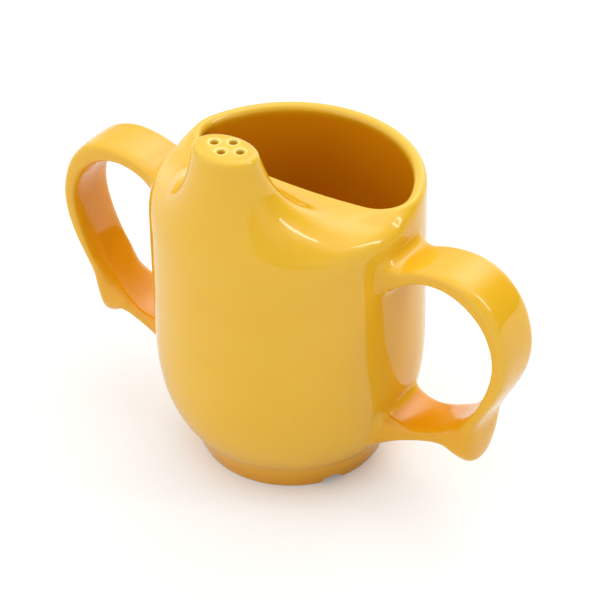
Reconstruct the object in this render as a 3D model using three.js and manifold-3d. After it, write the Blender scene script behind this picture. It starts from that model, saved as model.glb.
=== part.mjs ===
// A two-handled feeder cup in glazed ceramic. The body is one slip casting: foot ring, belly, wall,
// half hood and drinking spout with four holes. Two strap handles are cast apart and stuck to the
// wall with slip, one joint at each end of each strap. Millimetres, +Z up, origin under the middle
// of the foot, handles along X, spout towards -Y.
import * as THREE from 'three';
import { mergeVertices } from 'three/addons/utils/BufferGeometryUtils.js';
import Module from 'manifold-3d';

const wasm = await Module();
wasm.setup();

const { lerp, smoothstep, degToRad } = THREE.MathUtils;
const quarter = Math.PI / 2;
const upward = new THREE.Vector3(0, 0, 1);

// Body of the cup
const bodyRadius = 38;
const rimHeight = 88.4;
const wall = 3.8;
const bellyHeight = 40;
const bellyStartHandle = 10.5;
const bellyEndHandle = 14;
const bellyStartSlope = degToRad(48);

// Foot ring and the drain notches under it
const footRadius = 26.6;
const footHeight = 9.6;
const creaseRadius = 30.6;
const creaseRound = 0.7;
const footEdgeRound = 0.9;
const footRingWidth = 4.2;
const recessDepth = 4.4;
const recessRound = 1.6;
const floorThickness = 4.6;
const floorRound = 14.4;
const floorHandleShare = 0.69;
const innerBellyShare = 1.2;
const notchCount = 3;
const notchWidth = 6.6;
const notchHeight = 2.7;
const firstNotchAngle = degToRad(-30);

// Mouth, and the hood that closes the front half of the cup
const hoodWall = 3.7;
const edgeOffset = 4.2;
const edgeBow = 2;
const mouthCornerRound = 10;
const wallCornerAngle = degToRad(5);
const cornerTurnShare = 0.8;
const rimDrop = 1.4;
const cornerDrop = 4.2;
const shoulderDrop = 11;
const cornerHandle = 5.2;
const shoulderHandle = 11;
const hoodRise = 0.6;
const edgeHandle = 5;
const edgeDip = 0.3;
const edgePace = 0.75;

// Spout, its broad flare and its holes
const spoutHeight = 111.3;
const spoutOffset = 26.8;
const spoutHalfWidth = 9.9;
const spoutHalfDepth = 6.9;
const spoutEdgeRound = 1.7;
const spoutWall = 2.9;
const spoutLean = degToRad(6);
const frontHandle = 8;
const flareHandle = 21;
const flareSpan = 24;
const narrowShare = 0.125;
const middleShare = 0.3;
const shoulderShare = 0.25;
const capThickness = 3.4;
const holeRadius = 1.05;
const holeLip = 0.65;
const holeOffset = 25.9;
const holeSpreadX = 4.2;
const holeSpreadY = 2.7;

// Strap handles. Reach is from the wall to the outermost point, span from the lower joint to the
// top of the arch.
const strapReach = 36.8;
const strapBase = 16.5;
const strapSpan = 63.9;
const strapWidth = 16;
const slipThickness = 0.9;
const slipLip = 0.5;
const clearance = 0.3;

// Stations down a strap as shares of those sizes: inner side out and up, outer side out and up,
// width, and how square the outer edges are. The bulge low down is the finger rest.
const innerSquareness = 4;
const stationShares = [
  [-0.190, 0.689, -0.190, 1.088, 1.36, 4],
  [-0.095, 0.767, -0.095, 1.017, 1.3, 4],
  [0.000, 0.812, 0.000, 0.972, 1.2, 4],
  [0.095, 0.856, 0.098, 0.958, 1.06, 4],
  [0.217, 0.898, 0.231, 0.983, 1, 4],
  [0.353, 0.919, 0.394, 1.000, 1, 4],
  [0.489, 0.914, 0.557, 1.000, 1, 4],
  [0.639, 0.876, 0.734, 0.966, 1, 4],
  [0.769, 0.809, 0.886, 0.881, 1, 4],
  [0.842, 0.728, 0.967, 0.775, 1, 4],
  [0.870, 0.642, 1.000, 0.657, 1, 4],
  [0.851, 0.548, 0.978, 0.548, 1, 4],
  [0.796, 0.446, 0.913, 0.446, 1, 4],
  [0.726, 0.360, 0.823, 0.346, 1, 3.6],
  [0.668, 0.316, 0.761, 0.258, 1, 2.8],
  [0.620, 0.286, 0.750, 0.141, 1, 2.1],
  [0.579, 0.261, 0.696, 0.033, 1, 2],
  [0.530, 0.236, 0.598, 0.049, 1, 2.2],
  [0.448, 0.202, 0.489, 0.100, 1, 3],
  [0.326, 0.164, 0.340, 0.095, 1, 4],
  [0.204, 0.144, 0.190, 0.061, 1.02, 4],
  [0.082, 0.149, 0.068, 0.027, 1.1, 4],
  [-0.019, 0.174, -0.033, -0.008, 1.22, 4],
  [-0.122, 0.214, -0.149, -0.052, 1.3, 4],
  [-0.217, 0.258, -0.272, -0.094, 1.36, 4],
];

// One overrun serves all the cuts
const overrun = 3;
const weldShare = 3e-5;
const weld = overrun * weldShare;

// Facet counts
const backSteps = 20;
const frontSteps = 26;
const edgeSteps = 16;
const shoulderSteps = 3;
const curveSteps = 8;
const cornerSteps = 2;
const spokeSteps = 8;
const lipSteps = 6;
const roundSteps = 3;
const footSteps = 2;
const evenedRounds = 12;
const evenedSpokes = 7;
const strapSteps = 48;
const strapSides = 20;
const turnedSteps = 96;
const holeSteps = 24;

const glaze = new THREE.MeshStandardMaterial({ color: 0xe5ae0f, roughness: 0.12, metalness: 0 });

// A grid of points becomes two triangles a cell, cut along the shorter diagonal. A triangle that
// shrinks to a line is left out.
function addGrid(corners, rows, { closed = false, flipped = false } = {}) {
  for (let i = 0; i < rows.length - 1; i += 1) {
    const columns = closed ? rows[i].length : rows[i].length - 1;
    for (let j = 0; j < columns; j += 1) {
      const k = (j + 1) % rows[i].length;
      const [a, b, c, d] = [rows[i][j], rows[i][k], rows[i + 1][k], rows[i + 1][j]];
      const rising = a.distanceTo(c) <= b.distanceTo(d) + weld;
      for (const [p, q, r] of rising ? [[a, b, c], [a, c, d]] : [[a, b, d], [b, c, d]]) {
        const flat = Math.min(p.distanceTo(q), q.distanceTo(r), r.distanceTo(p)) < weld;
        if (!flat) corners.push(p, flipped ? r : q, flipped ? q : r);
      }
    }
  }
}

function solidOf(geometry) {
  const plain = geometry.clone();
  plain.deleteAttribute('normal');
  plain.deleteAttribute('uv');
  const merged = mergeVertices(plain, weld);
  return new wasm.Manifold(new wasm.Mesh({
    numProp: 3,
    vertProperties: new Float32Array(merged.attributes.position.array),
    triVerts: new Uint32Array(merged.index.array),
  }));
}

function geometryOf(solid) {
  const mesh = solid.getMesh();
  const geometry = new THREE.BufferGeometry();
  geometry.setAttribute('position', new THREE.BufferAttribute(mesh.vertProperties, mesh.numProp));
  geometry.setIndex(new THREE.BufferAttribute(mesh.triVerts, 1));
  geometry.computeVertexNormals();
  return geometry;
}

const heading = (angle) => new THREE.Vector3(Math.cos(angle), Math.sin(angle), 0);

const polar = (radius, angle, height) => heading(angle).multiplyScalar(radius).setZ(height);

const arc = (x, y, radius, from, to, steps) =>
  new THREE.EllipseCurve(x, y, radius, radius, from, to, to < from).getPoints(steps);

const range = (steps, from, to) =>
  Array.from({ length: steps + 1 }, (_, i) => lerp(from, to, i / steps));

// Bezier curve through any number of control points
function bezier(controls, t) {
  let points = controls;
  while (points.length > 1) {
    points = points.slice(1).map((point, i) => points[i].clone().lerp(point, t));
  }
  return points[0];
}

// The wall's upright lines: over the back from one corner of the mouth to the other, then round
// the front under the hood.
const backAngles = range(backSteps, wallCornerAngle, Math.PI - wallCornerAngle);
const frontAngles = range(frontSteps, Math.PI - wallCornerAngle, 2 * Math.PI + wallCornerAngle);
const wallAngles = [...backAngles.slice(0, -1), ...frontAngles.slice(0, -1)];

const ring = (radius, height) => wallAngles.map((angle) => polar(radius, angle, height));

// Middle line of the lip round the D-shaped mouth: the rim's arc, two rounded corners and a
// shallow bow across the hood. The first list runs over the back, the second over the hood.
function mouthLine() {
  const rimRadius = bodyRadius - wall / 2;
  const cornerY = mouthCornerRound - edgeOffset + edgeBow;
  const cornerX = Math.sqrt((rimRadius - mouthCornerRound) ** 2 - cornerY ** 2);
  const tangentAngle = Math.atan2(cornerY, cornerX);
  const cornerArc = (share) => {
    const angle = lerp(-quarter, tangentAngle, share);
    return new THREE.Vector2(
      cornerX + mouthCornerRound * Math.cos(angle),
      cornerY + mouthCornerRound * Math.sin(angle),
    );
  };
  const back = backAngles.map((_, i) => {
    const turn = i / backSteps;
    const side = Math.min(turn, 1 - turn) * backSteps;
    const mirror = turn > 0.5 ? -1 : 1;
    if (side < cornerSteps) {
      const point = cornerArc(lerp(0.5, 1, side / cornerSteps));
      return new THREE.Vector2(mirror * point.x, point.y);
    }
    const along = (i - cornerSteps) / (backSteps - 2 * cornerSteps);
    const angle = lerp(tangentAngle, Math.PI - tangentAngle, along);
    return new THREE.Vector2(rimRadius * Math.cos(angle), rimRadius * Math.sin(angle));
  });
  const hood = range(edgeSteps, -1, 1).map((turn) => {
    const side = (1 - Math.abs(turn)) * (edgeSteps / 2);
    const mirror = Math.sign(turn) || 1;
    if (side < cornerSteps) {
      const point = cornerArc(lerp(0.5, 0, side / cornerSteps));
      return new THREE.Vector2(mirror * point.x, point.y);
    }
    const x = (Math.abs(turn) * cornerX) / (1 - (2 * cornerSteps) / edgeSteps);
    return new THREE.Vector2(mirror * x, -edgeOffset + edgeBow * (x / cornerX) ** 2);
  });
  return { back, hood };
}

// The lip is a half round swept along that line. It stands on the wall at the back, lies on the
// edge of the hood in front, and turns a quarter between them at the corners of the mouth.
function lipColumns(line, onHood) {
  const last = line.length - 1;
  return line.map((point, i) => {
    const along = line[Math.min(i + 1, last)].clone().sub(line[Math.max(i - 1, 0)]).normalize();
    const out = new THREE.Vector3(along.y, -along.x, 0);
    if (i === 0 || i === last) out.set(Math.sign(point.x) * Math.SQRT1_2, -Math.SQRT1_2, 0);
    const side = smoothstep(Math.min(i, last - i), 0, cornerSteps);
    const start = quarter * lerp(cornerTurnShare, onHood ? 1 : 0, side);
    const radius = lerp(wall, hoodWall, start / quarter) / 2;
    const centre = new THREE.Vector3(point.x, point.y, rimHeight - radius);
    return range(lipSteps, 0, Math.PI).map((turn) => {
      const angle = start + turn;
      const point3 = centre.clone().addScaledVector(out, radius * Math.cos(angle));
      point3.z += radius * Math.sin(angle);
      const tangent = out.clone().multiplyScalar(-Math.sin(angle));
      tangent.z = Math.cos(angle);
      return { point: point3, tangent };
    });
  });
}

// How far round the front an angle lies: 0 at the corners of the mouth, 1 under the spout
function frontShare(angle) {
  const turn = (angle - frontAngles[0]) / (frontAngles.at(-1) - frontAngles[0]);
  return turn < 0 ? 0 : Math.sin(Math.PI * turn);
}

// A closed loop of points over the hood, with those near the mouth's two corners drawn towards
// the middle of their neighbours. The corners are the loop's first point and its frontSteps-th.
const evened = (loop) => loop.map((point, i) => {
  const away = Math.min(i, Math.abs(i - frontSteps), loop.length - i);
  const pull = smoothstep(evenedSpokes - away, 0, evenedSpokes) / 2;
  return loop.at(i - 1).clone().lerp(loop[(i + 1) % loop.length], 0.5).lerp(point, 1 - pull);
});

// One skin of the cup above the belly, outside or inside. It runs up the wall, over the shoulder,
// across the hood and up the spout to the rounded edge of its flat top. Each upright line of the
// wall carries on as one curve, and those behind the spout start at the lip of the mouth.
function upperSkin(corners, lip, inside) {
  const inset = inside ? wall : 0;
  const lipRow = inside ? lipSteps : 0;
  const radius = bodyRadius - inset;
  const halfWidth = spoutHalfWidth - (inside ? spoutWall : 0);
  const halfDepth = spoutHalfDepth - (inside ? spoutWall : 0);
  const top = spoutHeight - (inside ? capThickness : 0);
  const hoodHeight = rimHeight - (inside ? hoodWall : 0);

  const wallTop = (angle, i) => {
    const front = smoothstep(frontShare(angle), 0, 1);
    const side = i < 0 ? 0 : smoothstep(Math.min(i, backSteps - i), 0, cornerSteps);
    const drop = lerp(lerp(cornerDrop, rimDrop, side), shoulderDrop, front);
    return polar(radius, angle, rimHeight - wall / 2 - drop - (inside ? wall / 2 : 0));
  };
  const backStrips = backAngles.map((angle, i) => {
    const { point, tangent } = lip.back[i][lipRow];
    const from = wallTop(angle, i);
    const reach = from.distanceTo(point) / 2;
    const before = tangent.clone().multiplyScalar(inside ? reach : -reach).add(point);
    const curve = [from, from.clone().add(new THREE.Vector3(0, 0, reach)), before, point];
    return range(shoulderSteps, 0, 1).map((t) => bezier(curve, t));
  });

  const toSpout = (point, rise) => {
    const angle = Math.atan2(point.y + spoutOffset, point.x);
    const edge = new THREE.Vector3(
      halfWidth * Math.cos(angle),
      halfDepth * Math.sin(angle) - spoutOffset,
      top - spoutEdgeRound,
    );
    const away = Math.hypot(edge.x - point.x, edge.y - point.y);
    const broad = smoothstep(away, flareSpan * narrowShare, flareSpan);
    const handle = lerp(frontHandle, flareHandle, broad);
    const flare = polar(handle * Math.tan(spoutLean), angle, -handle).add(edge);
    const middle = point.clone().lerp(edge, lerp(0.5, middleShare, broad));
    middle.z = lerp(middle.z, hoodHeight + hoodRise, broad);
    return { angle, curve: [point, point.clone().add(rise), middle, flare, edge] };
  };
  const frontSpokes = frontAngles.slice(1, -1).map((angle) => {
    const handle = lerp(cornerHandle, shoulderHandle, smoothstep(frontShare(angle), 0, 1));
    return toSpout(wallTop(angle, -1), new THREE.Vector3(0, 0, handle));
  });
  const frontStrips = frontSpokes.map(({ curve }) =>
    range(shoulderSteps, 0, shoulderShare).map((t) => bezier(curve, t)));
  const strips = [...backStrips, ...frontStrips];
  const rowsOf = (columns) => columns[0].map((_, row) => columns.map((column) => column[row]));
  addGrid(corners, rowsOf(strips), { closed: true, flipped: inside });

  const frontRest = frontSpokes.map(({ angle, curve }) => ({
    angle,
    column: range(spokeSteps, shoulderShare, 1).map((t) => bezier(curve, t)),
  }));
  const edgeRest = lip.hood.map((column, i) => {
    const { point } = column[lipRow];
    const side = smoothstep(Math.min(i, edgeSteps - i), 0, 2 * cornerSteps);
    const inward = new THREE.Vector3(-point.x, -spoutOffset - point.y, 0).normalize();
    const rise = inward.lerp(heading(-quarter), side).multiplyScalar(edgeHandle).setZ(-edgeDip);
    const { angle, curve } = toSpout(point, rise);
    return { angle, column: range(spokeSteps, 0, 1).map((t) => bezier(curve, t ** edgePace)) };
  });
  const spokes = [edgeRest[0], ...frontRest, ...edgeRest.slice(1).reverse()];
  const rows = rowsOf(spokes.map(({ column }) => column));
  for (let round = 0; round < evenedRounds; round += 1) {
    for (let i = 1; i < spokeSteps; i += 1) rows[i] = evened(rows[i]);
  }
  for (const turn of range(roundSteps, 0, quarter).slice(1)) {
    const shrink = spoutEdgeRound * (1 - Math.cos(turn));
    const height = top - spoutEdgeRound * (1 - Math.sin(turn));
    rows.push(spokes.map(({ angle }) => new THREE.Vector3(
      (halfWidth - shrink) * Math.cos(angle),
      (halfDepth - shrink) * Math.sin(angle) - spoutOffset,
      height,
    )));
  }
  rows.push(spokes.map(() => new THREE.Vector3(0, -spoutOffset, top)));
  addGrid(corners, rows, { closed: true, flipped: inside });
  return strips.map((column) => column[0]);
}

// A solid turned round the Z axis from a profile that starts and ends on it
function turned(profile, steps) {
  const corners = [];
  const angles = range(steps, 0, 2 * Math.PI).slice(0, -1);
  addGrid(corners, profile.map(({ x, y }) => angles.map((angle) => polar(x, angle, y))), { closed: true });
  return solidOf(new THREE.BufferGeometry().setFromPoints(corners));
}

// The outer belly, from the crease above the foot to the upright wall
const outerBelly = new THREE.CubicBezierCurve(
  new THREE.Vector2(creaseRadius, footHeight),
  new THREE.Vector2(
    creaseRadius + bellyStartHandle * Math.cos(bellyStartSlope),
    footHeight + bellyStartHandle * Math.sin(bellyStartSlope),
  ),
  new THREE.Vector2(bodyRadius, bellyHeight - bellyEndHandle),
  new THREE.Vector2(bodyRadius, bellyHeight),
);

function cupBody() {
  const corners = [];
  const line = mouthLine();
  const lip = { back: lipColumns(line.back, false), hood: lipColumns(line.hood, true) };
  const lipLoop = [...lip.back.slice(0, -1), ...lip.hood.slice(0, -1)];
  const lipRows = range(lipSteps, 0, lipSteps).map((row) => lipLoop.map((column) => column[row].point));
  addGrid(corners, lipRows, { closed: true });

  const recessRadius = footRadius - footRingWidth;
  const outerProfile = [
    new THREE.Vector2(0, recessDepth),
    ...arc(recessRadius - recessRound, recessDepth - recessRound, recessRound, quarter, 0, roundSteps),
    ...arc(recessRadius + footEdgeRound, footEdgeRound, footEdgeRound, 2 * quarter, 3 * quarter, footSteps),
    ...arc(footRadius - footEdgeRound, footEdgeRound, footEdgeRound, -quarter, 0, footSteps),
    new THREE.Vector2(creaseRadius - creaseRound, footHeight - creaseRound),
    ...outerBelly.getPoints(curveSteps),
  ];
  const outerTop = upperSkin(corners, lip, false);
  const outerRows = outerProfile.map(({ x, y }) => ring(x, y));
  addGrid(corners, [...outerRows, outerTop], { closed: true });

  const floorHeight = recessDepth + floorThickness;
  const innerRadius = bodyRadius - wall;
  const innerBelly = new THREE.CubicBezierCurve(
    new THREE.Vector2(innerRadius - floorRound, floorHeight),
    new THREE.Vector2(innerRadius - floorRound * (1 - floorHandleShare), floorHeight),
    new THREE.Vector2(innerRadius, bellyHeight - bellyEndHandle * innerBellyShare),
    new THREE.Vector2(innerRadius, bellyHeight),
  );
  const innerTop = upperSkin(corners, lip, true);
  const innerProfile = [new THREE.Vector2(0, floorHeight), ...innerBelly.getPoints(curveSteps)];
  const innerRows = innerProfile.map(({ x, y }) => ring(x, y));
  addGrid(corners, [...innerRows, innerTop], { closed: true, flipped: true });
  return solidOf(new THREE.BufferGeometry().setFromPoints(corners));
}

// A round hole through the flat top of the spout, with a softened edge
function holeCutter(x, y) {
  const lip = arc(holeRadius + holeLip, spoutHeight - holeLip, holeLip, 2 * quarter, quarter, roundSteps);
  return turned([
    new THREE.Vector2(0, spoutHeight - capThickness - overrun),
    new THREE.Vector2(holeRadius, spoutHeight - capThickness - overrun),
    ...lip,
    new THREE.Vector2(holeRadius + holeLip, spoutHeight + overrun),
    new THREE.Vector2(0, spoutHeight + overrun),
  ], holeSteps).translate([x, y, 0]);
}

// An arched notch through the foot ring lets water drain from the recess
function notchCutter(angle) {
  const half = notchWidth / 2;
  const arch = new THREE.Shape();
  arch.moveTo(half, -overrun);
  arch.lineTo(half, 0);
  arch.absellipse(0, 0, half, notchHeight, 0, 2 * quarter);
  arch.lineTo(-half, -overrun);
  const inner = footRadius - footRingWidth - overrun;
  const block = new THREE.ExtrudeGeometry(arch, {
    depth: footRingWidth + 2 * overrun,
    bevelEnabled: false,
    curveSegments: lipSteps,
  });
  const radial = heading(angle);
  block.applyMatrix4(new THREE.Matrix4().makeBasis(heading(angle + quarter), upward, radial));
  block.translate(inner * radial.x, inner * radial.y, 0);
  return solidOf(block);
}

// Everything within a set distance of the outer wall, to trim the straps and shape the slip
function nearWall(distance) {
  const profile = range(curveSteps * 2, 0, 1).map((t) => {
    const tangent = outerBelly.getTangent(t);
    return outerBelly.getPoint(t).add(new THREE.Vector2(tangent.y, -tangent.x).multiplyScalar(distance));
  });
  return turned([
    new THREE.Vector2(0, profile[0].y),
    ...profile,
    new THREE.Vector2(bodyRadius + distance, rimHeight),
    new THREE.Vector2(0, rimHeight),
  ], turnedSteps);
}

// One strap, lofted through its stations. Extra is how far the skin stands out all round.
function strap(extra) {
  const side = (out, up) => new THREE.Vector3(bodyRadius + strapReach * out, 0, strapBase + strapSpan * up);
  const innerSide = new THREE.CatmullRomCurve3(stationShares.map(([out, up]) => side(out, up)));
  const outerSide = new THREE.CatmullRomCurve3(stationShares.map(([, , out, up]) => side(out, up)));
  const manners = new THREE.CatmullRomCurve3(stationShares.map(([, , , , width, squareness]) =>
    new THREE.Vector3(width, squareness, 0)));
  const sections = range(strapSteps, 0, 1).map((t) => {
    const inner = innerSide.getPoint(t);
    const outer = outerSide.getPoint(t);
    const manner = manners.getPoint(t);
    const middle = inner.clone().lerp(outer, 0.5);
    const outward = outer.clone().sub(inner).normalize();
    const halfThickness = inner.distanceTo(outer) / 2 + extra;
    const halfWidth = (strapWidth * manner.x) / 2 + extra;
    return range(strapSides, 0, 4 * quarter).slice(0, -1).map((turn) => {
      const power = 2 / (Math.cos(turn) > 0 ? manner.y : innerSquareness);
      const out = Math.sign(Math.cos(turn)) * Math.abs(Math.cos(turn)) ** power;
      const aside = Math.sign(Math.sin(turn)) * Math.abs(Math.sin(turn)) ** power;
      const point = middle.clone().addScaledVector(outward, halfThickness * out);
      point.y = halfWidth * aside;
      return point;
    });
  });
  const capped = (section) => section.map(() => section[0].clone().lerp(section[strapSides / 2], 0.5));
  const rows = [capped(sections[0]), ...sections, capped(sections.at(-1))];
  const corners = [];
  addGrid(corners, rows, { closed: true, flipped: true });
  return solidOf(new THREE.BufferGeometry().setFromPoints(corners));
}

const holes = [0, 1, 2, 3].map((turn) =>
  holeCutter(
    holeSpreadX * Math.cos(turn * quarter),
    holeSpreadY * Math.sin(turn * quarter) - holeOffset,
  ));
const notches = range(notchCount, firstNotchAngle, firstNotchAngle + 4 * quarter).slice(1).map(notchCutter);
const body = cupBody().subtract(wasm.Manifold.union([...holes, ...notches]));
const slipShell = nearWall(clearance + slipThickness).subtract(nearWall(clearance));
const handle = strap(0).subtract(nearWall(2 * clearance + slipThickness));
const lowEnd = (solid) => solid.boundingBox().min[2];
const [lowerSlip, upperSlip] = strap(slipLip).intersect(slipShell).decompose()
  .sort((a, b) => lowEnd(a) - lowEnd(b));

const group = new THREE.Group();

function addPiece(name, solid) {
  const piece = new THREE.Mesh(geometryOf(solid), glaze.clone());
  piece.name = name;
  group.add(piece);
}

addPiece('cup_body', body);
for (const side of ['left', 'right']) {
  const placed = (solid) => (side === 'left' ? solid.mirror([1, 0, 0]) : solid);
  addPiece(`${side}_handle`, placed(handle));
  addPiece(`${side}_upper_slip_joint`, placed(upperSlip));
  addPiece(`${side}_lower_slip_joint`, placed(lowerSlip));
}

export default group;
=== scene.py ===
import math

import bpy
import numpy
from mathutils import Matrix, Vector
from mathutils.bvhtree import BVHTree


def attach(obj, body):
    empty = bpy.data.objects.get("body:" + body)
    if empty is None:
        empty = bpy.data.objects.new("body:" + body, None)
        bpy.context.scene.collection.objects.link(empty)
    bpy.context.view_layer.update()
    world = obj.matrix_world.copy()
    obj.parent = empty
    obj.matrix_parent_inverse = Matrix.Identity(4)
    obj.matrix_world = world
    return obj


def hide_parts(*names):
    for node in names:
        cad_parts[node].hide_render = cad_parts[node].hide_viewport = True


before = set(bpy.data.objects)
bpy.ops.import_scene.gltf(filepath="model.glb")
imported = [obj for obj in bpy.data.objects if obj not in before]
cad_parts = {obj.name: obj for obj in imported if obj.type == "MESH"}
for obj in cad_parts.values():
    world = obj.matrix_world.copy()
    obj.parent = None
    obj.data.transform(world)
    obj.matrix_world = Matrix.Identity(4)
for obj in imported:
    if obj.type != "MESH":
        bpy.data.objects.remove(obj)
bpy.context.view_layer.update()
mm = 0.001

# Foot, belly and wall
# The cup is one slip casting in white clay, poured into a plaster mould. Its lower part is a plain
# turned form: a hollow foot ring, a crease where the ring meets the belly, and an upright wall.
columns = 72
body_radius = 38 * mm
wall = 3.8 * mm
belly_height = 40 * mm
belly_start_handle = 10.5 * mm
belly_end_handle = 14 * mm
belly_start_slope = math.radians(56)
foot_radius = 26.6 * mm
foot_height = 9.6 * mm
crease_radius = 30.6 * mm
crease_inset = 0.8 * mm
crease_drop = 0.45 * mm
foot_edge_round = 0.9 * mm
foot_ring_width = 4.2 * mm
recess_depth = 4.4 * mm
recess_round = 1.6 * mm
floor_thickness = 4.6 * mm
floor_round = 14.4 * mm
floor_handle_share = 0.69
inner_belly_share = 1.2
weld = 0.0005 * mm
belly_steps = 10
inner_steps = 8
arc_steps = 3


def only(*pieces):
    """Select these pieces and nothing else. The first is the active one."""
    bpy.ops.object.select_all(action="DESELECT")
    for piece in pieces:
        piece.select_set(True)
    bpy.context.view_layer.objects.active = pieces[0]


def arc(x, y, radius, start, end, steps=arc_steps):
    """Points on an arc, angles in quarter turns."""
    angles = [math.pi / 2 * (start + (end - start) * i / steps) for i in range(steps + 1)]
    return [(x + radius * math.cos(a), y + radius * math.sin(a)) for a in angles]


def bezier(controls, t):
    """A point on the Bezier curve through any number of control points."""
    points = list(controls)
    while len(points) > 1:
        points = [a.lerp(b, t) for a, b in zip(points, points[1:])]
    return points[0]


def turned(name, profile, steps):
    """A profile of (radius, height) points spun round the Z axis."""
    mesh = bpy.data.meshes.new(name)
    edges = [(i, i + 1) for i in range(len(profile) - 1)]
    mesh.from_pydata([(radius, 0, height) for radius, height in profile], edges, [])
    piece = bpy.data.objects.new(name, mesh)
    bpy.context.collection.objects.link(piece)
    only(piece)
    bpy.ops.object.mode_set(mode="EDIT")
    bpy.ops.mesh.select_all(action="SELECT")
    bpy.ops.mesh.spin(steps=steps, angle=math.tau, center=(0, 0, 0), axis=(0, 0, 1))
    bpy.ops.mesh.select_all(action="SELECT")
    bpy.ops.mesh.remove_doubles(threshold=weld)
    bpy.ops.object.mode_set(mode="OBJECT")
    return piece


def mark(piece, name, values):
    """A number for each vertex, kept on the mesh for its material to read."""
    piece.data.attributes.new(name, "FLOAT", "POINT").data.foreach_set("value", values)


def mark_all(piece, name, value):
    mark(piece, name, [value] * len(piece.data.vertices))


recess_radius = foot_radius - foot_ring_width
outer_belly = [
    Vector((crease_radius, foot_height)),
    Vector((
        crease_radius + belly_start_handle * math.cos(belly_start_slope),
        foot_height + belly_start_handle * math.sin(belly_start_slope),
    )),
    Vector((body_radius, belly_height - belly_end_handle)),
    Vector((body_radius, belly_height)),
]
outer_profile = [
    (0, recess_depth),
    (recess_radius / 3, recess_depth),
    (recess_radius * 2 / 3, recess_depth),
    *arc(recess_radius - recess_round, recess_depth - recess_round, recess_round, 1, 0),
    *arc(recess_radius + foot_edge_round, foot_edge_round, foot_edge_round, 2, 3),
    *arc(foot_radius - foot_edge_round, foot_edge_round, foot_edge_round, 3, 4),
    ((foot_radius + crease_radius - crease_inset) / 2, foot_height / 2),
    (crease_radius - crease_inset, foot_height - crease_drop),
    *[bezier(outer_belly, i / belly_steps) for i in range(belly_steps + 1)],
]
floor_height = recess_depth + floor_thickness
inner_radius = body_radius - wall
inner_belly = [
    Vector((inner_radius - floor_round, floor_height)),
    Vector((inner_radius - floor_round * (1 - floor_handle_share), floor_height)),
    Vector((inner_radius, belly_height - belly_end_handle * inner_belly_share)),
    Vector((inner_radius, belly_height)),
]
inner_profile = [
    (0, floor_height),
    (inner_belly[0].x / 2, floor_height),
    *[bezier(inner_belly, i / inner_steps) for i in range(inner_steps + 1)],
]
cup_body = turned("cup_body", outer_profile, columns)
skins = [turned("inner_belly", inner_profile, columns)]
mark_all(cup_body, "inside", 0.0)
mark_all(skins[0], "inside", 1.0)

# Mouth and lip
# The mouth is D-shaped. Its lip is a half round: it stands on the wall at the back, lies on the
# edge of the hood in front, and turns a quarter between them at the mouth's two corners.
rim_height = 88.4 * mm
hood_wall = 3.7 * mm
edge_offset = 4.2 * mm
edge_bow = 2 * mm
mouth_corner_round = 10 * mm
corner_columns = -1
corner_turn_share = 0.8
corner_steps = 3
edge_steps = 26
lip_steps = 8
lip_share = 0.6
back_steps = columns // 2 + 2 * corner_columns
front_steps = columns - back_steps
column_angle = math.tau / columns
back_angles = [(i - corner_columns) * column_angle for i in range(back_steps + 1)]
front_angles = [back_angles[-1] + i * column_angle for i in range(front_steps + 1)]


def smoothstep(value, low, high):
    share = min(max((value - low) / (high - low), 0), 1)
    return share * share * (3 - 2 * share)


def blend(low, high, share):
    return low + (high - low) * share


def heading(angle, length=1.0, height=0.0):
    return Vector((length * math.cos(angle), length * math.sin(angle), height))


def skin(name, rows):
    """A grid primitive with its corners laid on rows of points."""
    bpy.ops.mesh.primitive_grid_add(x_subdivisions=len(rows[0]) - 1, y_subdivisions=len(rows) - 1)
    piece = bpy.context.object
    piece.name = name
    places = [c for row in rows for point in row for c in point]
    piece.data.vertices.foreach_set("co", places)
    return piece


def mouth_line():
    """Middle line of the lip, over the back and over the hood, from right to left and back."""
    rim_radius = body_radius - wall / 2
    corner_y = mouth_corner_round - edge_offset + edge_bow
    corner_x = math.sqrt((rim_radius - mouth_corner_round) ** 2 - corner_y ** 2)
    tangent_angle = math.atan2(corner_y, corner_x)

    def corner(share, mirror):
        angle = blend(-math.pi / 2, tangent_angle, share)
        point = Vector((corner_x, corner_y, 0)) + heading(angle, mouth_corner_round)
        return Vector((mirror * point.x, point.y, 0))

    back = []
    for i in range(back_steps + 1):
        side = min(i, back_steps - i)
        if side < corner_steps:
            mirror = 1 if i == side else -1
            back.append(corner(blend(0.5, 1, side / corner_steps), mirror))
        else:
            along = (i - corner_steps) / (back_steps - 2 * corner_steps)
            back.append(heading(blend(tangent_angle, math.pi - tangent_angle, along), rim_radius))
    hood = []
    for i in range(edge_steps + 1):
        side = min(i, edge_steps - i)
        mirror = -1 if i < edge_steps / 2 else 1
        if side < corner_steps:
            hood.append(corner(blend(0.5, 0, side / corner_steps), mirror))
        else:
            turn = abs(2 * i / edge_steps - 1) / (1 - 2 * corner_steps / edge_steps)
            hood.append(Vector((mirror * turn * corner_x, edge_bow * turn ** 2 - edge_offset, 0)))
    return back, hood


def lip_columns(line, on_hood):
    """The lip's half rounds as (point, direction) pairs, from its outer side to its inner one."""
    last = len(line) - 1
    found = []
    for i, middle in enumerate(line):
        along = (line[min(i + 1, last)] - line[max(i - 1, 0)]).normalized()
        out = Vector((along.y, -along.x, 0))
        if i in (0, last):
            out = Vector((math.copysign(1, middle.x), -1, 0)).normalized()
        side = smoothstep(min(i, last - i), 0, corner_steps)
        start = blend(corner_turn_share, 1 if on_hood else 0, side)
        radius = blend(wall, hood_wall, start) / 2
        centre = middle + Vector((0, 0, rim_height - radius))
        column = []
        for step in range(lip_steps + 1):
            angle = start * math.pi / 2 + math.pi * step / lip_steps
            point = centre + out * radius * math.cos(angle)
            point.z += radius * math.sin(angle)
            column.append((point, Vector((*(out * -math.sin(angle)).xy, math.cos(angle)))))
        found.append(column)
    return found


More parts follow.
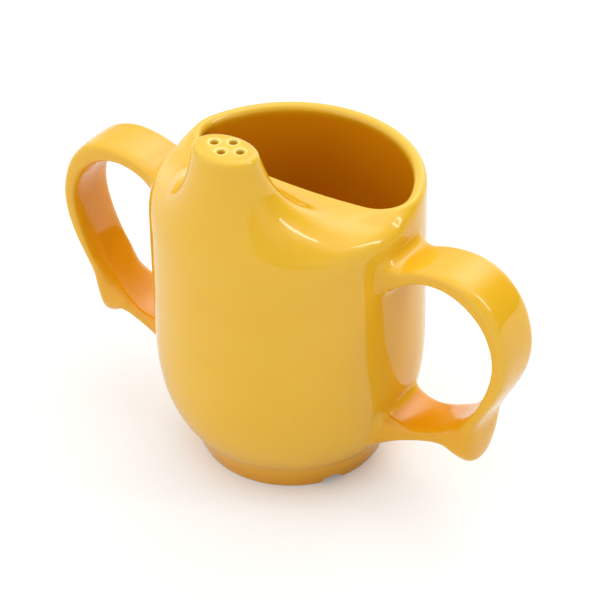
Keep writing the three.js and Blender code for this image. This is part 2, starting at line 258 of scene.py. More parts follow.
back_line, hood_line = mouth_line()
back_lip = lip_columns(back_line, False)
hood_lip = lip_columns(hood_line, True)
lip_loop = [*back_lip[:-1], *hood_lip]
lip = skin("lip", [[column[row][0] for column in lip_loop] for row in range(lip_steps + 1)])
lip_rows = [i // len(lip_loop) for i in range(len(lip.data.vertices))]
mark(lip, "inside", [smoothstep(row, lip_share * lip_steps, lip_steps) for row in lip_rows])
skins.append(lip)

# Half hood and drinking spout
# The hood closes the front half of the cup and flows up into a short oval spout. Each upright line
# of the wall carries on over the shoulder and up the spout as one curve, inside and outside alike.
rim_drop = 1.4 * mm
corner_drop = 4.2 * mm
shoulder_drop = 11 * mm
corner_handle = 5.2 * mm
shoulder_handle = 11 * mm
hood_rise = 0.6 * mm
edge_handle = 5 * mm
edge_dip = 0.3 * mm
edge_pace = 0.75
spout_height = 111.3 * mm
spout_offset = 26.8 * mm
spout_half_width = 9.9 * mm
spout_half_depth = 6.9 * mm
spout_edge_round = 1.7 * mm
spout_wall = 2.9 * mm
spout_lean = math.radians(6)
front_handle = 8 * mm
flare_handle = 21 * mm
flare_span = 24 * mm
narrow_share = 0.125
middle_share = 0.3
shoulder_share = 0.25
cap_thickness = 3.4 * mm
shoulder_steps = 4
spoke_steps = 10
wall_steps = 3
evened_rounds = 26
evened_spokes = 9
facing_rounds = 40
cap_share = 0.85
eased_rounds = 30
eased_rows = 2
ease_in = 0.6
ease_out = -0.55
rounded_levels = 2


def front_share(angle):
    """How far round the front an angle lies: 0 at the mouth's corners, 1 under the spout."""
    turn = (angle - front_angles[0]) / (front_angles[-1] - front_angles[0])
    return 0 if turn < 0 else math.sin(math.pi * turn)


def evened(loop):
    """A loop over the hood, with what is near the mouth's corners drawn to its neighbours."""
    count = len(loop)
    found = []
    for i, point in enumerate(loop):
        away = min(i, abs(i - front_steps), count - i)
        pull = smoothstep(evened_spokes - away, 0, evened_spokes) / 2
        found.append(point * (1 - pull) + (loop[i - 1] + loop[(i + 1) % count]) * pull / 2)
    return found


def eased(rows, pull):
    """Rows of closed loops, with each point drawn to the middle of its four neighbours."""
    found = [rows[0]]
    for r, row in enumerate(rows[1:-1], 1):
        near = pull * smoothstep(r, 0, eased_rows)
        around = zip(row, row[-1:] + row[:-1], row[1:] + row[:1], rows[r - 1], rows[r + 1])
        found.append([point.lerp((a + b + c + d) / 4, near) for point, a, b, c, d in around])
    return [*found, rows[-1]]


def upper_skin(inside):
    """One skin of the cup above the belly: wall, shoulder, hood and spout."""
    inset = wall if inside else 0
    lip_row = lip_steps if inside else 0
    half_width = spout_half_width - (spout_wall if inside else 0)
    half_depth = spout_half_depth - (spout_wall if inside else 0)
    top = spout_height - (cap_thickness if inside else 0)
    hood_height = rim_height - (hood_wall if inside else 0)

    def wall_top(angle, i):
        front = smoothstep(front_share(angle), 0, 1)
        side = 0 if i < 0 else smoothstep(min(i, back_steps - i), 0, corner_steps)
        drop = blend(blend(corner_drop, rim_drop, side), shoulder_drop, front)
        inner_drop = wall / 2 if inside else 0
        return heading(angle, body_radius - inset, rim_height - wall / 2 - drop - inner_drop)

    def wall_strip(top_point):
        foot = Vector((top_point.x, top_point.y, belly_height))
        return [foot.lerp(top_point, i / wall_steps) for i in range(wall_steps)]

    strips = []
    for i, angle in enumerate(back_angles):
        point, tangent = back_lip[i][lip_row]
        start = wall_top(angle, i)
        reach = (start - point).length / 2
        before = point + tangent * (reach if inside else -reach)
        curve = [start, start + Vector((0, 0, reach)), before, point]
        steps = [bezier(curve, t / shoulder_steps) for t in range(shoulder_steps + 1)]
        strips.append(wall_strip(start) + steps)

    def to_spout(point, rise, facing):
        edge = Vector((
            half_width * facing.x,
            half_depth * facing.y - spout_offset,
            top - spout_edge_round,
        ))
        away = (edge - point).xy.length
        broad = smoothstep(away, flare_span * narrow_share, flare_span)
        handle = blend(front_handle, flare_handle, broad)
        flare = edge + facing * handle * math.tan(spout_lean) - Vector((0, 0, handle))
        middle = point.lerp(edge, blend(0.5, middle_share, broad))
        middle.z = blend(middle.z, hood_height + hood_rise, broad)
        return [point, point + rise, middle, flare, edge]

    # Where each line over the hood starts, and which way it sets out
    starts = []
    for angle in front_angles[1:-1]:
        handle = blend(corner_handle, shoulder_handle, smoothstep(front_share(angle), 0, 1))
        starts.append((wall_top(angle, -1), Vector((0, 0, handle))))
    edges = []
    for i, column in enumerate(hood_lip):
        point = column[lip_row][0]
        side = smoothstep(min(i, edge_steps - i), 0, 2 * corner_steps)
        inward = Vector((-point.x, -spout_offset - point.y, 0)).normalized()
        rise = inward.lerp(Vector((0, -1, 0)), side) * edge_handle
        rise.z = -edge_dip
        edges.append((point, rise))
    starts = [edges[0], *starts, *reversed(edges[1:])]
    spout_axis = Vector((0, -spout_offset, 0))
    facings = [(point - spout_axis).xy.normalized().to_3d() for point, _ in starts]
    for _ in range(facing_rounds):
        facings = [facing.normalized() for facing in evened(facings)]
    spokes = []
    for i, ((point, rise), facing) in enumerate(zip(starts, facings)):
        curve = to_spout(point, rise, facing)
        if 0 < i < front_steps:
            shares = [shoulder_share * t / shoulder_steps for t in range(shoulder_steps + 1)]
            strips.append(wall_strip(point) + [bezier(curve, t) for t in shares])
            shares = [blend(shoulder_share, 1, t / spoke_steps) for t in range(spoke_steps + 1)]
        else:
            shares = [(t / spoke_steps) ** edge_pace for t in range(spoke_steps + 1)]
        spokes.append([bezier(curve, t) for t in shares])
    strips.append(strips[0])
    found = [skin("wall", [list(row) for row in zip(*strips)])]
    rows = [list(row) for row in zip(*spokes)]
    for _ in range(evened_rounds):
        rows[1:-1] = [evened(row) for row in rows[1:-1]]
    for _ in range(eased_rounds):
        for pull in (ease_in, ease_out):
            rows = eased(rows, pull)

    # The spout's round edge and flat top
    edge_arc = arc(half_width - spout_edge_round, top - spout_edge_round, spout_edge_round, 0, 1)
    for x, z in edge_arc[1:]:
        shrink = half_width - x
        rows.append([
            Vector((
                (half_width - shrink) * facing.x,
                (half_depth - shrink) * facing.y - spout_offset,
                z,
            ))
            for facing in facings
        ])
    centre = Vector((0, -spout_offset, top))
    rows.append([centre.lerp(point, cap_share) for point in rows[-1]])
    found.append(skin("hood", [row + row[:1] for row in rows]))
    for piece in found:
        mark_all(piece, "inside", 1.0 if inside else 0.0)
    return found


def outward(piece):
    """Merges a piece's doubled points and turns its faces outwards."""
    only(piece)
    bpy.ops.object.mode_set(mode="EDIT")
    bpy.ops.mesh.select_all(action="SELECT")
    bpy.ops.mesh.remove_doubles(threshold=weld)
    bpy.ops.mesh.normals_make_consistent(inside=False)
    bpy.ops.object.mode_set(mode="OBJECT")


def rounded(piece, levels):
    """Subdivides a piece into smooth curves."""
    only(piece)
    smooth = piece.modifiers.new("rounded", "SUBSURF")
    smooth.levels = levels
    smooth.render_levels = levels
    bpy.ops.object.modifier_apply(modifier=smooth.name)


skins += upper_skin(False) + upper_skin(True)
only(cup_body, *skins)
bpy.ops.object.join()
outward(cup_body)
rounded(cup_body, rounded_levels)
bpy.ops.object.mode_set(mode="EDIT")
bpy.ops.mesh.select_all(action="SELECT")
bpy.ops.mesh.fill_holes(sides=0)
bpy.ops.object.mode_set(mode="OBJECT")

# Holes in the spout and notches in the foot
# Four small holes are punched through the spout's flat top, and three arched notches are sponged
# through the foot ring so that the recess drains. The glaze softens all their edges.
hole_count = 4
hole_radius = 1.05 * mm
hole_lip = 0.65 * mm
hole_offset = 25.9 * mm
hole_spread_x = 4.2 * mm
hole_spread_y = 2.7 * mm
hole_step = 0.01 * mm
hole_arc_steps = 6
hole_steps = 48
overrun = 3 * mm
notch_count = 3
notch_width = 6.6 * mm
notch_height = 2.7 * mm
notch_lip = 0.6 * mm
notch_steps = 16
first_notch_angle = math.radians(-30)
sharp_angle = math.radians(35)


def cut(piece, cutter):
    only(piece)
    tool = piece.modifiers.new("cut", "BOOLEAN")
    tool.operation = "DIFFERENCE"
    tool.solver = "EXACT"
    tool.object = cutter
    bpy.ops.object.modifier_apply(modifier=tool.name)
    bpy.data.objects.remove(cutter)


def closed(rows):
    """Closed loops, with the first and the last drawn to their middles."""
    ends = [[sum(row[:-1], Vector()) / (len(row) - 1)] * len(row) for row in (rows[0], rows[-1])]
    return [ends[0], *rows, ends[1]]


hole_profile = [
    (0, spout_height - cap_thickness - overrun),
    (hole_radius, spout_height - cap_thickness - overrun),
    *arc(hole_radius + hole_lip, spout_height - hole_lip + hole_step,
         hole_lip, 2, 1, hole_arc_steps),
    (hole_radius + hole_lip, spout_height + overrun),
    (0, spout_height + overrun),
]
hole_places = [
    (hole_spread_x * math.cos(angle), hole_spread_y * math.sin(angle) - hole_offset, 0)
    for angle in [math.tau * i / hole_count for i in range(hole_count)]
]
cutters = []
for place in hole_places:
    cutter = turned("hole_cutter", hole_profile, hole_steps)
    bpy.ops.transform.translate(value=place)
    cutters.append(cutter)

# The notch's arch, wider where it opens on the ring's two faces
lip_angles = [math.pi / 2 * i / arc_steps for i in range(arc_steps + 1)]
stations = [
    (recess_radius - overrun, notch_lip),
    *[(recess_radius + notch_lip - notch_lip * math.cos(a), notch_lip * (1 - math.sin(a)))
      for a in lip_angles],
    *[(foot_radius - notch_lip * math.sin(a), notch_lip * (1 - math.cos(a)))
      for a in reversed(lip_angles)],
    (foot_radius + overrun, notch_lip),
]
for i in range(notch_count):
    angle = first_notch_angle + math.tau * (i + 1) / notch_count
    rows = []
    for away, flare in stations:
        row = []
        for step in range(notch_steps + 1):
            turn = math.pi * step / notch_steps
            aside = (notch_width / 2 + flare) * math.cos(turn)
            up = (notch_height + flare) * math.sin(turn)
            row.append(heading(angle, away, up) + heading(angle + math.pi / 2, aside))
        low = [point - Vector((0, 0, overrun)) for point in (row[-1], row[0])]
        rows.append(row + low + row[:1])
    cutters.append(skin("notch_cutter", closed(rows)))
only(*cutters)
bpy.ops.object.join()
outward(cutters[0])
cut(cup_body, cutters[0])
only(cup_body)
bpy.ops.object.shade_smooth_by_angle(angle=sharp_angle)

# Glaze on the body
# A clear gloss glaze, tinted golden yellow, is poured over the white clay. It runs thin on edges,
# gathers in hollows, and is wiped off the ring that the cup stands on before the firing. Its colour
# is deepened inside the cup, a painted shade, and deepens towards the bottom; round each hole it is
# paler, partly thinner glaze on the lip and partly a painted highlight.
clay_white = (0.825, 0.86, 0.8)
glass_tint = (0.975, 0.535, 0.03)
glaze_ior = 1.48
thin_on_edges = 0.4
bend_limit = 1.5
spread_rounds = 4
# Painted shade inside the cup: the colour deepens up the inner wall and fades out below the rim
painted_shade_inside = 0.66
inside_shade_fade = 4 * mm
inside_shade_full_height = 56 * mm
cloud_size = 16 * mm
cloud_depth = 0.1
mottle_size = 1.1 * mm
mottle_depth = 0.06
# The colour deepens towards the bottom of the cup
lower_deepening_height = 17 * mm
lower_deepening_depth = 0.45
speck_spacing = 8 * mm
speck_share = 0.035
speck_edge = 0.5
speck_rarity = 0.62
speck_depth = 0.9
# A paler ring round each hole: partly thinner glaze on the lip, partly a painted highlight
ring_spread = 0.5 * mm
ring_reach = 1.2 * mm
ring_thinning_and_highlight = 0.36
peel_size = 2.4 * mm
peel_height = 0.009 * mm
swell_size = 17 * mm
swell_height = 0.075 * mm
gloss_roughness = 0.045
gloss_mottle = 0.05
clay_colour = (0.74, 0.66, 0.54, 1)
clay_roughness = 0.85
wiped_height = 0.3 * mm
wiped_edge = 0.14 * mm
wiped_wave = 0.22 * mm
wiped_wave_size = 3 * mm


def mark_hollows(piece):
    """Marks how the skin bends, per mm: above 0 in hollows, below 0 on edges."""
    mesh = piece.data
    count = len(mesh.vertices)
    places = numpy.empty(count * 3, numpy.float32)
    normals = numpy.empty(count * 3, numpy.float32)
    ends = numpy.empty(len(mesh.edges) * 2, numpy.int32)
    mesh.vertices.foreach_get("co", places)
    mesh.vertices.foreach_get("normal", normals)
    mesh.edges.foreach_get("vertices", ends)
    places, normals, ends = places.reshape(-1, 3), normals.reshape(-1, 3), ends.reshape(-1, 2)
    here = numpy.concatenate([ends[:, 0], ends[:, 1]])
    there = numpy.concatenate([ends[:, 1], ends[:, 0]])
    way = places[there] - places[here]
    bend = 2 * mm * (normals[here] * way).sum(1) / (way ** 2).sum(1).clip(min=weld ** 2)
    neighbours = numpy.bincount(here, minlength=count).clip(min=1)

    def averaged(values):
        return numpy.bincount(here, values, count) / neighbours

    hollow = averaged(bend.clip(-bend_limit, bend_limit))
    for _ in range(spread_rounds):
        hollow = (hollow + averaged(hollow[there])) / 2
    mark(piece, "hollow", hollow.astype(numpy.float32))


class Value:
    """A value in a material's nodes. Arithmetic on it adds the maths nodes that work it out."""

    def __init__(self, tree, socket=None):
        self.tree, self.socket = tree, socket

    def node(self, kind, settings=None, inputs=None, output=0):
        """Any other node, by its type, settings and inputs, as the value of one of its outputs."""
        made = self.tree.nodes.new(kind)
        for name, setting in (settings or {}).items():
            setattr(made, name, setting)
        for name, value in (inputs or {}).items():
            if isinstance(value, Value):
                self.tree.links.new(value.socket, made.inputs[name])
            else:
                made.inputs[name].default_value = value
        return Value(self.tree, None if output is None else made.outputs[output])

    def maths(self, operation, first, second):
        return self.node("ShaderNodeMath", {"operation": operation}, {0: first, 1: second})

    def vector_maths(self, operation, other=(0, 0, 0), output="Value"):
        settings = {"operation": operation}
        return self.node("ShaderNodeVectorMath", settings, {0: self, 1: other}, output)

    def __add__(self, other):
        return self.maths("ADD", self, other)

    def __radd__(self, other):
        return self.maths("ADD", other, self)

    def __sub__(self, other):
        return self.maths("SUBTRACT", self, other)

    def __rsub__(self, other):
        return self.maths("SUBTRACT", other, self)

    def __mul__(self, other):
        return self.maths("MULTIPLY", self, other)

    def __rmul__(self, other):
        return self.maths("MULTIPLY", other, self)

    def __pow__(self, other):
        return self.maths("POWER", self, other)

    def __rpow__(self, other):
        return self.maths("POWER", other, self)

    def __gt__(self, other):
        return self.maths("GREATER_THAN", self, other)

    def rising(self, low, high):
        """0 up to the low value and 1 from the high one, with a soft step between."""
        return self.node("ShaderNodeMapRange", {"interpolation_type": "SMOOTHSTEP"},
                         {"Value": self, "From Min": low, "From Max": high})

    def noise(self, size, detail=1.0):
        """Soft noise on these coordinates, about 0, with lumps of this size."""
        return self.node("ShaderNodeTexNoise", None,
                         {"Vector": self, "Scale": 1 / size, "Detail": detail}) - 0.5

    def attribute(self, name):
        return self.node("ShaderNodeAttribute", {"attribute_name": name}, None, "Fac")

    def mix(self, other, share):
        """This colour, turning to the other one by a share."""
        colour_a, colour_b, colour_out = 6, 7, 2
        inputs = {"Factor": share, colour_a: self, colour_b: other}
        return self.node("ShaderNodeMix", {"data_type": "RGBA"}, inputs, colour_out)


def new_glaze(name):
    """A material with the glaze's fixed gloss, its shader and the object's coordinates."""
    material = bpy.data.materials.new(name)
    material.use_nodes = True
    shader = material.node_tree.nodes["Principled BSDF"]
    shader.inputs["IOR"].default_value = glaze_ior
    return material, shader, Value(material.node_tree).node("ShaderNodeTexCoord", output="Object")


def glass_depth(place):
    """How deep the glaze lies, 1 as poured: it clouds, mottles and leaves the edges."""
    depth = 1 + thin_on_edges * place.attribute("hollow")
    return depth + cloud_depth * place.noise(cloud_size) + mottle_depth * place.noise(mottle_size)


def tinted(depth):
    """White clay seen through that depth of tinted glass."""
    inputs = {i: clay * tint ** depth for i, (clay, tint) in enumerate(zip(clay_white, glass_tint))}
    return depth.node("ShaderNodeCombineColor", None, inputs)


def specks(place):
    """Sparse iron specks in the glaze, each a soft dot."""
    cells = {"Vector": place, "Scale": 1 / speck_spacing}
    away = place.node("ShaderNodeTexVoronoi", None, cells, "Distance")
    kind = place.node("ShaderNodeTexVoronoi", None, cells, "Color")
    chosen = place.node("ShaderNodeSeparateColor", None, {0: kind}, "Red") > speck_rarity
    return (1 - away.rising(speck_share * speck_edge, speck_share)) * chosen


def gloss(place):
    """The roughness of the fired glaze, which mottles a little."""
    return gloss_roughness + gloss_mottle * (place.noise(mottle_size) + 0.5)


def skin_of_glaze(place):
    """The fired surface: a fine orange peel over the slow swells of a hand-finished casting."""
    height = place.noise(peel_size) * peel_height + place.noise(swell_size) * swell_height
    return place.node("ShaderNodeBump", None, {"Height": height, "Distance": 1.0}, "Normal")


def wear(shader, socket, value):
    """Leads a value into one of the shader's sockets."""
    value.tree.links.new(value.socket, shader.inputs[socket])


def finish(piece, material):
    """Gives a piece this material and no other."""
    piece.data.materials.clear()
    piece.data.materials.append(material)


def thinned_and_highlit_rings(place, up):
    """1 in a ring round each hole: partly thinner glaze on the lip, partly a painted highlight on
    it.
    """
    level = place.vector_maths("MULTIPLY", (1, 1, 0), "Vector")
    lip_radius = hole_radius + hole_lip
    rings = [
        1 - level.vector_maths("DISTANCE", centre).rising(lip_radius, lip_radius + ring_spread)
        for centre in hole_places
    ]
    return sum(rings[1:], rings[0]) * up.rising(spout_height - ring_reach, spout_height - hole_lip)


mark_hollows(cup_body)
body_glaze, shader, place = new_glaze("golden_glaze_on_the_body")
up = place.node("ShaderNodeSeparateXYZ", None, {0: place}, "Z")
# Painted shade: the colour is deepened on the inside of the cup
below_rim = 1 - up.rising(rim_height - inside_shade_fade, rim_height)
inside_shade_share = place.attribute("inside") * up.rising(floor_height, inside_shade_full_height) * below_rim
depth = glass_depth(place) + painted_shade_inside * inside_shade_share + speck_depth * specks(place)
# Deeper colour towards the bottom
depth = depth + lower_deepening_depth * (1 - up.rising(0.0, lower_deepening_height))
# Pale ring round each hole, partly thinner glaze and partly a painted highlight
depth = depth - ring_thinning_and_highlight * thinned_and_highlit_rings(place, up)
ragged = up + wiped_wave * place.noise(wiped_wave_size)
bare = 1 - ragged.rising(wiped_height, wiped_height + wiped_edge)
wear(shader, "Base Color", tinted(depth).mix(clay_colour, bare))
wear(shader, "Roughness", gloss(place) + (clay_roughness - gloss_roughness) * bare)
wear(shader, "Normal", skin_of_glaze(place))
finish(cup_body, body_glaze)
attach(cup_body, "root")
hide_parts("cup_body")

# Strap handles
# Each handle is a strap cast apart in its own mould: a broad arch whose outer side runs down to a
# finger rest. The left one is the right one mirrored. Its stations run down from the upper end,
# each with its inner side's out and up, its outer side's out and up, its width and squareness.
strap_reach = 36.8 * mm
strap_base = 16.5 * mm
strap_span = 63.9 * mm
strap_width = 16 * mm
inner_squareness = 4
station_shares = [
    (-0.190, 0.689, -0.190, 1.088, 1.36, 4),
    (-0.095, 0.767, -0.095, 1.017, 1.3, 4),
    (0.000, 0.812, 0.000, 0.972, 1.2, 4),
    (0.095, 0.856, 0.098, 0.958, 1.06, 4),
    (0.217, 0.898, 0.231, 0.983, 1, 4),
    (0.353, 0.919, 0.394, 1.000, 1, 4),
    (0.489, 0.914, 0.557, 1.000, 1, 4),
    (0.639, 0.876, 0.734, 0.966, 1, 4),
    (0.769, 0.809, 0.886, 0.881, 1, 4),
    (0.842, 0.728, 0.967, 0.775, 1, 4),
    (0.870, 0.642, 1.000, 0.657, 1, 4),
    (0.851, 0.548, 0.978, 0.548, 1, 4),
    (0.796, 0.446, 0.913, 0.446, 1, 4),
    (0.726, 0.360, 0.823, 0.346, 1, 3.6),
    (0.668, 0.316, 0.761, 0.258, 1, 2.8),
    (0.620, 0.286, 0.750, 0.141, 1, 2.1),
    (0.579, 0.261, 0.696, 0.033, 1, 2),
    (0.530, 0.236, 0.598, 0.049, 1, 2.2),
    (0.448, 0.202, 0.489, 0.100, 1, 3),
    (0.326, 0.164, 0.340, 0.095, 1, 4),
    (0.204, 0.144, 0.190, 0.061, 1.02, 4),
    (0.082, 0.149, 0.068, 0.027, 1.1, 4),
    (-0.019, 0.174, -0.033, -0.008, 1.22, 4),
    (-0.122, 0.214, -0.149, -0.052, 1.3, 4),
    (-0.217, 0.258, -0.272, -0.094, 1.36, 4),
]
least_gap = 1e-9
strap_steps = 72
strap_sides = 24
strap_inset = 1.8 * mm
middle_share_down = 0.4
search_steps = 48
step_share = 0.001
deeper_on_strap = 0.09
# Painted shade: the strap's side towards the cup is deeper in colour
painted_shade_toward_cup = 0.35
# The strap's colour deepens towards its lower end
strap_lower_deepening_height = 60 * mm
strap_lower_deepening_depth = 0.2


def catmull_rom(points, t):
    """A point at share t of the centripetal Catmull-Rom curve through the points."""
    last = len(points) - 1
    i = min(int(t * last), last - 1)
    local = t * last - i
    b, c = points[i], points[i + 1]
    a = points[i - 1] if i > 0 else 2 * b - c
    d = points[i + 2] if i + 2 <= last else 2 * c - b
    ab, bc, cd = [max((q - p).length, least_gap) ** 0.5 for p, q in ((a, b), (b, c), (c, d))]
    leave = ((b - a) / ab - (c - a) / (ab + bc) + (c - b) / bc) * bc
    arrive = ((c - b) / bc - (d - b) / (bc + cd) + (d - c) / cd) * bc
    return (
        b * (2 * local ** 3 - 3 * local ** 2 + 1)
        + leave * (local ** 3 - 2 * local ** 2 + local)
        + c * (3 * local ** 2 - 2 * local ** 3)
        + arrive * (local ** 3 - local ** 2)
    )


def strap_side(out, up):
    """A point in the strap's middle plane, from its shares of the reach and the span."""
    return Vector((body_radius + strap_reach * out, 0, strap_base + strap_span * up))


inner_side = [strap_side(out, up) for out, up, *_ in station_shares]
outer_side = [strap_side(out, up) for _, _, out, up, _, _ in station_shares]
sections = [Vector((width, squareness, 0)) for *_, width, squareness in station_shares]


def strap_point(t, turn):
    """A point of the strap's skin: t runs down its length and turn goes round its section."""
    inner = catmull_rom(inner_side, t)
    outer = catmull_rom(outer_side, t)
    width, squareness, _ = catmull_rom(sections, t)
    out, aside = math.cos(turn), math.sin(turn)
    power = 2 / (squareness if out > 0 else inner_squareness)
    point = (inner + outer) / 2 + (outer - inner) / 2 * math.copysign(abs(out) ** power, out)
    point.y = width * strap_width / 2 * math.copysign(abs(aside) ** power, aside)
    return point


wall_tree = BVHTree.FromObject(cup_body, bpy.context.evaluated_depsgraph_get())


def wall_share(turn, shares):
    """The share of the strap's length at which one of its side lines enters the cup's wall."""
    for start, end in zip(shares, shares[1:]):
        a, b = strap_point(start, turn), strap_point(end, turn)
        place, _, _, distance = wall_tree.ray_cast(a, b - a, (b - a).length)
        if place:
            return blend(start, end, distance / (b - a).length)
    raise ValueError("a side line of the strap misses the wall")


turns = [math.tau * (i + 0.5) / strap_sides for i in range(strap_sides)]
upward_shares = [middle_share_down * (1 - i / search_steps) for i in range(search_steps + 1)]
downward_shares = [blend(middle_share_down, 1, i / search_steps) for i in range(search_steps + 1)]
upper_ends = [wall_share(turn, upward_shares) for turn in turns]
lower_ends = [wall_share(turn, downward_shares) for turn in turns]


def beyond(share, turn, step, distance):
    """Goes on along a side line by a distance, in steps of its share."""
    here = strap_point(share, turn)
    gone = 0
    while gone < distance:
        share += step
        there = strap_point(share, turn)
        gone += (there - here).length
        here = there
    return share


starts = [beyond(share, turn, -step_share, strap_inset) for share, turn in zip(upper_ends, turns)]
ends = [beyond(share, turn, step_share, strap_inset) for share, turn in zip(lower_ends, turns)]
lines = list(zip(starts, ends, turns))
rows = []
for i in range(strap_steps + 1):
    row = [strap_point(blend(start, end, i / strap_steps), turn) for start, end, turn in lines]
    rows.append(row + row[:1])
rows = closed(rows)
right_handle = skin("right_strap", rows)
# The strap's side towards the cup, where a painted shade deepens the colour
toward_cup = [max(-math.cos(turn), 0) for turn in turns + turns[:1]]
mark(right_handle, "toward_cup", [share for _ in rows for share in toward_cup])
outward(right_handle)
rounded(right_handle, rounded_levels)
bpy.ops.object.shade_smooth()


def mirrored(piece, name):
    """A copy of a right-hand piece, mirrored to the left."""
    only(piece)
    bpy.ops.object.duplicate()
    copy = bpy.context.object
    copy.name = name
    bpy.ops.transform.resize(value=(-1, 1, 1))
    bpy.ops.object.transform_apply(location=True, rotation=True, scale=True)
    outward(copy)
    return copy


mark_hollows(right_handle)
left_handle = mirrored(right_handle, "left_strap")
handle_glaze, shader, place = new_glaze("golden_glaze_on_the_handles")
up = place.node("ShaderNodeSeparateXYZ", None, {0: place}, "Z")
depth = glass_depth(place) + speck_depth * specks(place)
# Deeper colour towards the strap's lower end
depth = depth + deeper_on_strap + strap_lower_deepening_depth * (1 - up.rising(strap_base, strap_lower_deepening_height))
# Painted shade on the strap's side towards the cup
wear(shader, "Base Color", tinted(depth + painted_shade_toward_cup * place.attribute("toward_cup")))
wear(shader, "Roughness", gloss(place))
wear(shader, "Normal", skin_of_glaze(place))
for piece, node in ((right_handle, "right_handle"), (left_handle, "left_handle")):
    finish(piece, handle_glaze)
    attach(piece, "root")
    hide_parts(node)

# Slip joints
# A ring of slip, the same clay let down with water, is pressed out where each end of a strap meets
# the wall and sponged to a hollow round, in which the glaze pools.
slip_reach_wall = 2.4 * mm
slip_reach_strap = 2.6 * mm
slip_sink = 0.05 * mm
slip_bed = 0.8 * mm
slip_tuck = 0.5 * mm
slip_steps = 8
slip_levels = 1
pooled_depth = 0.06


def slip_joint(name, shares, step):
    """A ring of slip round one end of the strap, hollow outside and bedded in both pieces."""
    places = [strap_point(share, turn) for share, turn in zip(shares, turns)]
    count = len(places)
    centre = sum(places, Vector()) / count
    rows = []
    for i, (share, turn, place) in enumerate(zip(shares, turns, places)):
        normal = wall_tree.find_nearest(place)[1]
        aside = (places[(i + 1) % count] - places[i - 1]).cross(normal).normalized()
        if aside.dot(place - centre) < 0:
            aside = -aside
        on_wall, wall_normal = wall_tree.find_nearest(place + aside * slip_reach_wall)[:2]
        on_wall = on_wall - wall_normal * slip_sink
        in_wall = on_wall - wall_normal * slip_bed
        strap_share = beyond(share, turn, step, slip_reach_strap)
        on_strap = strap_point(strap_share, turn) - aside * slip_sink
        face = [bezier([on_wall, place, on_strap], t / slip_steps) for t in range(slip_steps + 1)]
        tucked = strap_point(beyond(strap_share, turn, step, slip_tuck), turn) - aside * slip_tuck
        core = place - aside * slip_bed - normal * slip_bed
        rows.append([in_wall, *face, tucked, core, in_wall])
    rows.append(rows[0])
    piece = skin(name, rows)
    outward(piece)
    rounded(piece, slip_levels)
    bpy.ops.object.shade_smooth()
    mark_hollows(piece)
    return piece


upper_slip = slip_joint("right_upper_slip", upper_ends, step_share)
lower_slip = slip_joint("right_lower_slip", lower_ends, -step_share)
left_upper = mirrored(upper_slip, "left_upper_slip")
left_lower = mirrored(lower_slip, "left_lower_slip")

slip_glaze, shader, place = new_glaze("golden_glaze_over_the_slip")
depth = glass_depth(place) + pooled_depth
wear(shader, "Base Color", tinted(depth))
wear(shader, "Roughness", gloss(place))
wear(shader, "Normal", skin_of_glaze(place))
for piece, node in (
    (upper_slip, "right_upper_slip_joint"),
    (lower_slip, "right_lower_slip_joint"),
    (left_upper, "left_upper_slip_joint"),
    (left_lower, "left_lower_slip_joint"),
):
    finish(piece, slip_glaze)
    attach(piece, "root")
    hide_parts(node)

# Table top
# The cup stands on a plain white table, which is only the surroundings and not part of the object.
# The camera sees it a little whiter than it lights the cup, and the cup's shadow stays on it.
# That whiteness fades out near the cup's foot, a painted shade under and beside the cup.
table_span = 6
table_white = (0.8, 0.8, 0.8, 1)
table_seen = (0.98, 0.975, 0.965, 1)
seen_glow = 0.5
# Painted shade: the camera's whiteness fades out between these distances from the cup's axis
glow_start = 14 * mm
glow_end = 44 * mm
bpy.ops.object.select_all(action="DESELECT")
bpy.ops.mesh.primitive_plane_add(size=table_span)
table = bpy.context.object
table.name = "table_top"
white = bpy.data.materials.new("table_white")
white.use_nodes = True
white.node_tree.nodes.clear()
base = Value(white.node_tree)
by_camera = base.node("ShaderNodeLightPath", output="Is Camera Ray")
lit = base.node("ShaderNodeBsdfDiffuse", None, {"Color": table_white})
seen = base.node("ShaderNodeBsdfDiffuse", None, {"Color": table_seen})
glow = base.node("ShaderNodeEmission", None, {"Color": table_seen})
place = base.node("ShaderNodeTexCoord", output="Object")
# Painted shade round the foot: no glow near the cup, full glow further out
glow_share_with_painted_shade = seen_glow * place.vector_maths("LENGTH").rising(glow_start, glow_end)
seen = base.node("ShaderNodeMixShader", None, {0: glow_share_with_painted_shade, 1: seen, 2: glow})
top = base.node("ShaderNodeMixShader", None, {0: by_camera, 1: lit, 2: seen})
base.node("ShaderNodeOutputMaterial", None, {"Surface": top}, None)
finish(table, white)

# Studio light
# Soft patches of light stand all round in the world: broad ones behind on the left and low in
# front, and smaller ones above, behind and on the right. A narrow strip light draws the line on
# the hood. Each patch has its azimuth and elevation in degrees, its sharpness and its strength.
soft_lights = (
    (238, 56, 3.6, 1.7),
    (129, 76, 19, 2.6),
    (190, 50, 20, 3.1),
    (110, 46, 35, 2.3),
    (78, 12, 7, 1.3),
    (186, 14, 14, 2.2),
    (332, 6, 2.8, 2.05),
    (243, 5, 40, 1.6),
    (355, 62, 14, 1.4),
)
strip_azimuth = 111
strip_elevation = 44
strip_distance = 0.8
strip_width = 60 * mm
strip_length = 420 * mm
strip_radiance = 9
middle_of_cup = Vector((0, 0, 50 * mm))
backdrop = (0.97, 0.975, 0.985, 1)


def direction(azimuth, elevation):
    """The way out from the cup, by degrees round from the spout's side towards +X, and up."""
    a, e = math.radians(azimuth), math.radians(elevation)
    return Vector((math.sin(a) * math.cos(e), -math.cos(a) * math.cos(e), math.sin(e)))


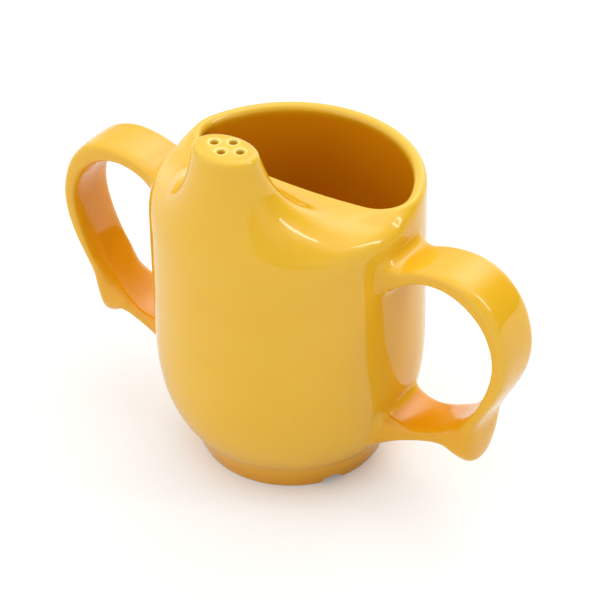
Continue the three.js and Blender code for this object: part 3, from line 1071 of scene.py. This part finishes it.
strip = bpy.data.lights.new("strip_light", "AREA")
strip.shape = "RECTANGLE"
strip.size, strip.size_y = strip_width, strip_length
strip.energy = strip_radiance * strip_width * strip_length * math.pi
holder = bpy.data.objects.new("strip_light", strip)
bpy.context.collection.objects.link(holder)
away = direction(strip_azimuth, strip_elevation)
holder.location = middle_of_cup + away * strip_distance
holder.rotation_euler = away.to_track_quat("Z", "Y").to_euler()

world = bpy.data.worlds.new("studio")
bpy.context.scene.world = world
world.use_nodes = True
world.node_tree.nodes.clear()
way = Value(world.node_tree).node("ShaderNodeTexCoord", output="Generated")


def soft_light(azimuth, elevation, sharpness, strength):
    """A round patch of light in the world, brightest in the middle and fading all the way out."""
    facing = way.vector_maths("DOT_PRODUCT", direction(azimuth, elevation))
    return strength * facing.maths("MAXIMUM", facing, 0.0) ** sharpness


patches = [soft_light(*patch) for patch in soft_lights]
lit = way.node("ShaderNodeBackground", None, {"Strength": sum(patches[1:], patches[0])})
seen = way.node("ShaderNodeBackground", None, {"Color": backdrop})
by_camera = way.node("ShaderNodeLightPath", output="Is Camera Ray")
sky = way.node("ShaderNodeMixShader", None, {0: by_camera, 1: lit, 2: seen})
way.node("ShaderNodeOutputWorld", None, {"Surface": sky}, None)

# Camera
# It looks down at the cup from the front right, as in the photograph, through a long lens.
camera_azimuth = 36
camera_elevation = 36.473
camera_distance = 744 * mm
camera_roll = math.radians(-1.177)
focal_pixels = 2668
frame_pixels = 600
sensor = 36
slide_right = -2.881 * mm
slide_up = 3.248 * mm
back = direction(camera_azimuth, camera_elevation)
level = direction(camera_azimuth + 90, 0)
upright = back.cross(level)
right = level * math.cos(camera_roll) + upright * math.sin(camera_roll)
up = upright * math.cos(camera_roll) - level * math.sin(camera_roll)
lens = bpy.data.cameras.new("camera")
lens.sensor_width = sensor
lens.lens = sensor * focal_pixels / frame_pixels
camera = bpy.data.objects.new("camera", lens)
bpy.context.collection.objects.link(camera)
place = middle_of_cup + back * camera_distance - right * slide_right - up * slide_up
camera.matrix_world = Matrix((right, up, back)).transposed().to_4x4()
camera.location = place
bpy.context.scene.camera = camera
bpy.context.scene.view_settings.view_transform = "Standard"
